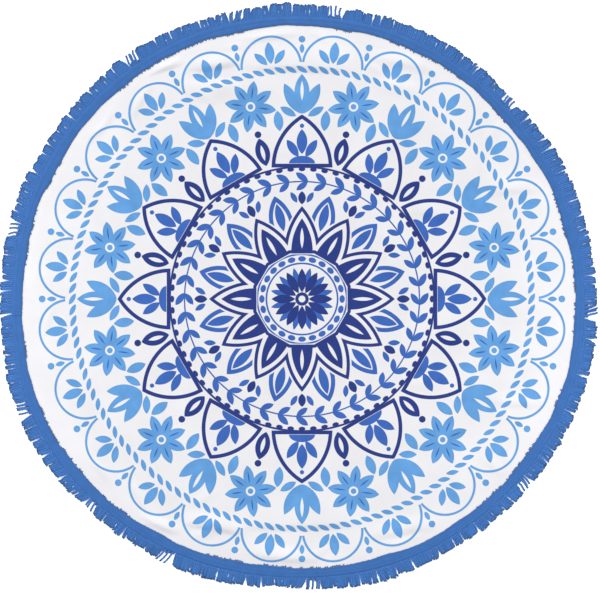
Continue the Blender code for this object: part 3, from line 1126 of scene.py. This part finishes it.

# %% [markdown]
# ## How the yarns lie
# Cut yarns don't hang like the teeth of a comb. They cling together in clumps, and between two clumps
# there is a slit, shut or open, that may close again before the tips. A few clumps are frayed: some of
# their yarns are broken off short and the rest lean over, apart from one another, while the clumps beside
# them lean away. Clumps and slits are drawn first, and each yarn then follows its clump, with a little
# lean, length and tone of its own.
# Yarns in a frayed clump and beside an open slit are given painted shade.

# %% Clumps and slits
YARNS = RIBS // 2  # in each layer
CLUMP_YARNS = (2, 6)
Slit = namedtuple("Slit", "share narrowest widest first_start last_start closes")
SLITS = (
    Slit(0.18, 0.0010, 0.0026, 0.48, 0.74, False),
    Slit(0.28, 0.0026, 0.0040, 0.54, 0.82, False),
    Slit(0.07, 0.0044, 0.0072, 0.38, 0.60, False),
    Slit(0.47, 0.0021, 0.0033, 0.32, 0.66, True),
)
OPEN_SLIT = 0.0019  # a narrower one is covered by the yarns beside it
CLOSING_LENGTH = 0.15  # of the yarn's length, in which a slit opens and closes again
STAYS_OPEN = 1.2  # of that, before it closes
JOINT_GAP = 0.0090
JOINT_GAP_START = -0.3  # before the root, so it is open from there on
FRAYED_YARNS = 7
CLUMPS_BETWEEN_FRAYED = (13, 30)
FRAYED_LEAN = 0.30  # sideways for each metre out
BESIDE_FRAYED_LEAN = (0.05, 0.20)  # away from a frayed clump
CLUMP_LEAN = 0.055
CLUMP_LENGTH_SPREAD = 0.0018

chance = np.random.default_rng(23)
sizes, frayed_at = [], []
until_frayed = CLUMPS_BETWEEN_FRAYED[0]
while sum(sizes) < YARNS:
    until_frayed -= 1
    size = int(chance.integers(*CLUMP_YARNS, endpoint=True))
    if until_frayed == 0:
        size = FRAYED_YARNS
        frayed_at.append(len(sizes))
        until_frayed = int(chance.integers(*CLUMPS_BETWEEN_FRAYED, endpoint=True))
    sizes.append(min(size, YARNS - sum(sizes)))
sizes, frayed_at = np.array(sizes), np.array(frayed_at)
clumps = len(sizes)
clump_start = np.concatenate([[0], np.cumsum(sizes)])
clump_frayed = np.isin(np.arange(clumps), frayed_at)

drawn = chance.choice(len(SLITS), clumps + 1, p=[slit.share for slit in SLITS])
slits = [SLITS[kind] for kind in drawn]
slit_width = np.array([chance.uniform(slit.narrowest, slit.widest) for slit in slits])
slit_start = np.array([chance.uniform(slit.first_start, slit.last_start) for slit in slits])
slit_closes = np.array([slit.closes for slit in slits])
slit_width[[0, -1]], slit_start[[0, -1]], slit_closes[[0, -1]] = JOINT_GAP, JOINT_GAP_START, False

clump_lean = chance.normal(0, CLUMP_LEAN, clumps)
for neighbour in (-1, 1):
    aside = chance.uniform(*BESIDE_FRAYED_LEAN, len(frayed_at))
    clump_lean[(frayed_at + neighbour) % clumps] += neighbour * aside
fallen = chance.choice([-1, 1], clumps) * chance.uniform(0, FRAYED_LEAN, clumps)
clump_lean += np.where(clump_frayed, fallen, 0)
clump_length = chance.normal(0, CLUMP_LENGTH_SPREAD, clumps)
print("clumps:", clumps, "of which frayed:", clump_frayed.sum())

# %% The yarns
YARN_HALF_WIDTH = 0.0030
YARN_ROOT = 0.0008  # beyond the cloth's edge, under the tape
LONGER = 0.0028  # than the comb in the frame, whose teeth are cut straight
LOWER_SHORTER = 0.0026  # than the upper layer
CUT_WAVES = ((8, 0.0013, -158), (9, 0.0014, 49), (10, 0.0016, -98), (11, 0.0015, -76))
COMB_WAVES = ((6, 0.05, 40), (13, 0.05, 160), (23, 0.04, -60))  # lean, not length
PAIR_LENGTH_SPREAD = 0.0010
STRAND_LENGTH_SPREAD = 0.0007
ROUNDED_CLUMP = 0.0026  # how much shorter its outermost yarns are than the middle one
PAIR_PINCH = 0.0006
PINCH_START = 0.6  # of the length
STRAND_LEAN = 0.012
FRAYED_STRAND_LEAN = 2.5  # times as much
LEAN_CURVE = 2.0  # a clump stands straight at its root and leans more and more towards its tip
FRAYED_FAN = 0.16
BROKEN_SHARE = 0.85  # of every second yarn in a frayed clump, and of all below them
BROKEN_LENGTHS = (0.28, 0.48)  # of a whole yarn's
WIDTH_SPREAD = (0.92, 1.06)
TIP_DROP = 0.0006
HEIGHT_SPREAD = 0.00018
WOBBLE = 0.00025
WOBBLE_TURN = 5  # radians along the yarn
TONES = (0.45, 1.0)
OPEN_DARKER = 0.40  # painted shade: less tone in a frayed clump and beside an open slit


def yarn_layer(index_shift, shorter, broken_every):
    """Where each yarn of a layer starts, and how it goes on."""
    number = np.arange(YARNS)
    index = number + index_shift
    clump = np.clip(np.searchsorted(clump_start, index, side="right") - 1, 0, clumps - 1)
    place = index + 0.5 - clump_start[clump]
    beside_slit = (place < 1) & (slit_width[clump] > OPEN_SLIT)
    beside_slit |= (place > sizes[clump] - 1) & (slit_width[clump + 1] > OPEN_SLIT)
    angle = TRIM_JOINT + (index + 0.5) * math.tau / YARNS
    frayed = clump_frayed[clump]
    pair = (number // 2) % (YARNS // 2)
    length = TAPE_OUTSIDE + FRINGE_LENGTH + LONGER - YARN_ROOT + clump_length[clump] - shorter
    length += chance.normal(0, PAIR_LENGTH_SPREAD, YARNS // 2)[pair]
    length += chance.normal(0, STRAND_LENGTH_SPREAD, YARNS) + wave_height(CUT_WAVES, angle)
    length -= ROUNDED_CLUMP * (2 * place / sizes[clump] - 1) ** 2
    lean = clump_lean[clump] + wave_height(COMB_WAVES, angle)
    lean += chance.normal(0, STRAND_LEAN, YARNS) * np.where(frayed, FRAYED_STRAND_LEAN, 1.0)
    lean += np.where(frayed, FRAYED_FAN * (place / sizes[clump] - 0.5), 0.0)
    broken = frayed & (number % broken_every == 0) & (chance.random(YARNS) < BROKEN_SHARE)
    length *= np.where(broken, chance.uniform(*BROKEN_LENGTHS, YARNS), 1.0)
    return {
        "angle": angle,
        "length": length,
        "lean": lean,
        "clump": clump,
        "share_of_clump": place / sizes[clump],
        "pinch": np.where(frayed, 0.0, PAIR_PINCH) * np.where(number % 2, -1, 1),
        "width": YARN_HALF_WIDTH * chance.uniform(*WIDTH_SPREAD, YARNS),
        "lift": chance.uniform(-HEIGHT_SPREAD, HEIGHT_SPREAD, YARNS),
        "tip_lift": chance.uniform(-TIP_DROP, TIP_DROP, YARNS),
        "phase": chance.uniform(0, math.tau, YARNS),
        # a random tone, less painted shade in a frayed clump and beside an open slit
        "tone": chance.uniform(*TONES, YARNS) - np.where(frayed | beside_slit, OPEN_DARKER, 0.0),
    }


def slit_opening(slit, share):
    """How far the yarns beside this slit are pushed aside at a share of their length."""
    start, width = slit_start[slit][:, None], slit_width[slit][:, None] / 2
    opens = smooth_step((share - start) / (1 - start))
    since_start = (share - start) / CLOSING_LENGTH
    closes = smooth_step(since_start) * (1 - smooth_step(since_start - STAYS_OPEN))
    return width * np.where(slit_closes[slit][:, None], closes, opens)


def lay_yarns(shape, layer, chosen, height_name):
    """Bends one yarn to each chosen yarn's course."""
    own = {name: values[chosen][:, None] for name, values in layer.items()}
    share, across, up = shape[None].transpose(2, 0, 1)
    clump = layer["clump"][chosen]
    pushed = slit_opening(clump, share) * (1 - own["share_of_clump"])
    pushed = pushed - slit_opening(clump + 1, share) * own["share_of_clump"]
    cosine, sine = np.cos(own["phase"]), np.sin(own["phase"])
    across, up = across * cosine - up * sine, across * sine + up * cosine
    side = own["lean"] * own["length"] * share**LEAN_CURVE + pushed
    side = side + own["pinch"] * smooth_step((share - PINCH_START) / (1 - PINCH_START))
    side = side + WOBBLE * np.sin(share * WOBBLE_TURN + own["phase"]) * share + across * own["width"]
    flatness = station_value("flatness", share) * YARN_HALF_WIDTH / own["width"]
    level = station_value(height_name, share) + own["lift"] + own["tip_lift"] * share**3
    level = np.maximum(level + up * own["width"] * flatness, 0.0)  # a yarn lies flat on the table
    return around(own["angle"] + side / EDGE_RADIUS, YARN_ROOT + own["length"] * share, level)


plied, plain = points_of(plied_yarn.data), points_of(plain_yarn.data)
plain[:, 1:] *= station_value("width", plain[:, :1])
upper = yarn_layer(index_shift=0.0, shorter=0.0, broken_every=2)
lower = yarn_layer(index_shift=0.5, shorter=LOWER_SHORTER, broken_every=1)
QUARTERS = ("right", "top", "left", "bottom")
fringe = []
for name, pattern, shape, layer, height_name in (
    ("fringe", plied_yarn, plied, upper, "upper_height"),
    ("lower_fringe", plain_yarn, plain, lower, "lower_height"),
):
    quarter = (np.floor((layer["angle"] % math.tau) / (math.tau / 4) + 0.5) % 4).astype(int)
    for index, side_name in enumerate(QUARTERS if name == "fringe" else ("all",)):
        chosen = (quarter == index) | (side_name == "all")
        chosen &= layer["share_of_clump"] < 1  # no lower yarn lies in a slit
        placed = lay_yarns(shape, layer, chosen, height_name)
        fringe.append(join_copies(name + "_" + side_name, pattern, placed, layer["tone"][chosen]))
bpy.data.objects.remove(plied_yarn)
bpy.data.objects.remove(plain_yarn)
print("yarns:", YARNS, "in each layer, with", sum(map(triangles_of, fringe)), "triangles")

# %% [markdown]
# ## Dyed cotton
# Tape, loops, stitches and yarns are one blue dye. The yarns' blue is painted brighter than the tape's, and
# the lower layer's brighter still, as painted light against the shade they lie in; the loops' blue is
# painted darker, as painted shade along the tape's inner edge. A group makes the twist of a plied thread
# from the map that each thread brings: slanting stripes that run round it, with painted shade between the
# plies. The tape has no such map, so its weave is fine noise between its real ribs.

# %% The trim's materials
TAPE_BLUE = (0.0402, 0.1565, 0.4620)
# painted light: brighter than the tape's blue, against the shade between the yarns
YARN_BLUE = (0.0508, 0.2010, 0.5850)
LOWER_BLUE = (0.0700, 0.2500, 0.6800)  # brighter, because it lies in the shade of the other
# painted shade: darker than the tape's blue, along the tape's inner edge
LOOP_BLUE = (0.0380, 0.1200, 0.3300)
PLY_SHADES = (0.86, 1.03)  # painted shade between two plies, and on one
ROOT_END = 0.30  # shares of the length: where the root's painted light ends and the tip's painted shade starts
TIP_START = 0.86
OWN_TONES = (0.70, 1.08)
ROOT_TONE = 0.94  # near the roots all threads look the same
OWN_TONE_SHOWS = (0.25, 0.60)
THREAD_DEPTH = 0.0004
FIBRE_SCALE = 700.0
FIBRE_DEPTH = 0.0003
TAPE_DRIFT = Mottle(45.0, 2.0, 0.93, 1.05)
Thread = namedtuple("Thread", "name turns plies root_shade tip_shade blue")


def make_twist():
    """Slanting plies round a thread: a height, and painted shade that is darker between the plies."""
    tree, given, result = new_group(
        "twist", {"Turns": 9.0, "Plies": 2.0}, {"Height": NUMBER, "Shade": NUMBER}
    )
    along, around_it, _ = parts_of(add_node(tree, "UVMap", uv_map="along").outputs[0])
    run = calc("ADD", calc("MULTIPLY", along, given["Turns"]), calc("MULTIPLY", around_it, given["Plies"]))
    wave = calc("ABSOLUTE", calc("SINE", calc("MULTIPLY", run, math.pi)))
    tree.links.new(wave, result["Height"])
    tree.links.new(map_range(wave, 0.0, 1.0, *PLY_SHADES), result["Shade"])
    return tree


twist = make_twist()


def make_thread_material(thread):
    """A dyed, twisted thread whose root may be painted brighter, as painted light, and whose tip may be
    painted darker, as painted shade.
    """
    material, tree, surface = new_material(thread.name, roughness=0.62, sheen=0.10, specular=0.35)
    plied = use_group(tree, twist, {"Turns": thread.turns, "Plies": thread.plies})
    along = parts_of(add_node(tree, "UVMap", uv_map="along").outputs[0])[0]
    # painted shade towards the tip, and painted light at the root
    tip = map_range(along, TIP_START, 1.0, 1.0, thread.tip_shade)
    root = map_range(along, 0.0, ROOT_END, thread.root_shade, 1.0)
    # each yarn's random tone, with painted shade in a frayed clump and beside an open slit
    own = add_node(tree, "Attribute", attribute_name="tone").outputs["Fac"]
    own = map_range(own, 0.0, 1.0, *OWN_TONES)
    shown = map_range(along, *OWN_TONE_SHOWS)
    own = add_node(tree, "Mix", {0: shown, 2: ROOT_TONE, 3: own}, data_type="FLOAT").outputs[0]
    shade = calc("MULTIPLY", calc("MULTIPLY", plied["Shade"], calc("MULTIPLY", root, tip)), own)
    finish_surface(surface, shaded(thread.blue, shade), plied["Height"], THREAD_DEPTH)
    return material


yarn_cotton, lower_cotton, loop_cotton, thread_cotton = (
    make_thread_material(Thread(*row)) for row in (
        # the yarns' roots get painted light against the shade that the tape's edge throws there, and their
        # tips get painted shade
        ("yarn_cotton", 12.0, 4.0, 1.18, 0.28, YARN_BLUE),
        ("lower_cotton", 12.0, 4.0, 1.0, 0.35, LOWER_BLUE),
        ("loop_cotton", 3.0, 2.0, 1.0, 0.7, LOOP_BLUE),
        ("thread_cotton", 4.0, 2.0, 1.0, 1.0, TAPE_BLUE),
    )
)
for piece in fringe:
    piece.data.materials.append(lower_cotton if piece.name.startswith("lower") else yarn_cotton)
edge_loops.data.materials.append(loop_cotton)
stitches.data.materials.append(thread_cotton)
under_stitches.data.materials.append(thread_cotton)

weave, tree, surface = new_material("tape_weave", roughness=0.7, sheen=0.12, specular=0.3)
position = add_node(tree, "TexCoord").outputs["Object"]
dyed = shaded(TAPE_BLUE, mottled(position, TAPE_DRIFT))
finish_surface(surface, dyed, noise_of(position, FIBRE_SCALE, 3.0), FIBRE_DEPTH)
tape.data.materials.append(weave)
print("cottons:", yarn_cotton.name, lower_cotton.name, loop_cotton.name, thread_cotton.name, weave.name)

# %% [markdown]
# ## Handing over
# Every piece rides on the object's one body and stands for the solid it replaces.

heading = [tape, edge_loops, stitches, under_stitches]
STANDS_FOR = {
    panel: ("towel", "velour_terry"),
    **{piece: ("heading", "woven_tape") for piece in heading},
    **{piece: ("fringe", "fringe_yarn") for piece in fringe},
}
for piece, (node, finish) in STANDS_FOR.items():
    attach(piece, "root")
    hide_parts(node)

print("triangles in all:", sum(triangles_of(piece) for piece in STANDS_FOR))
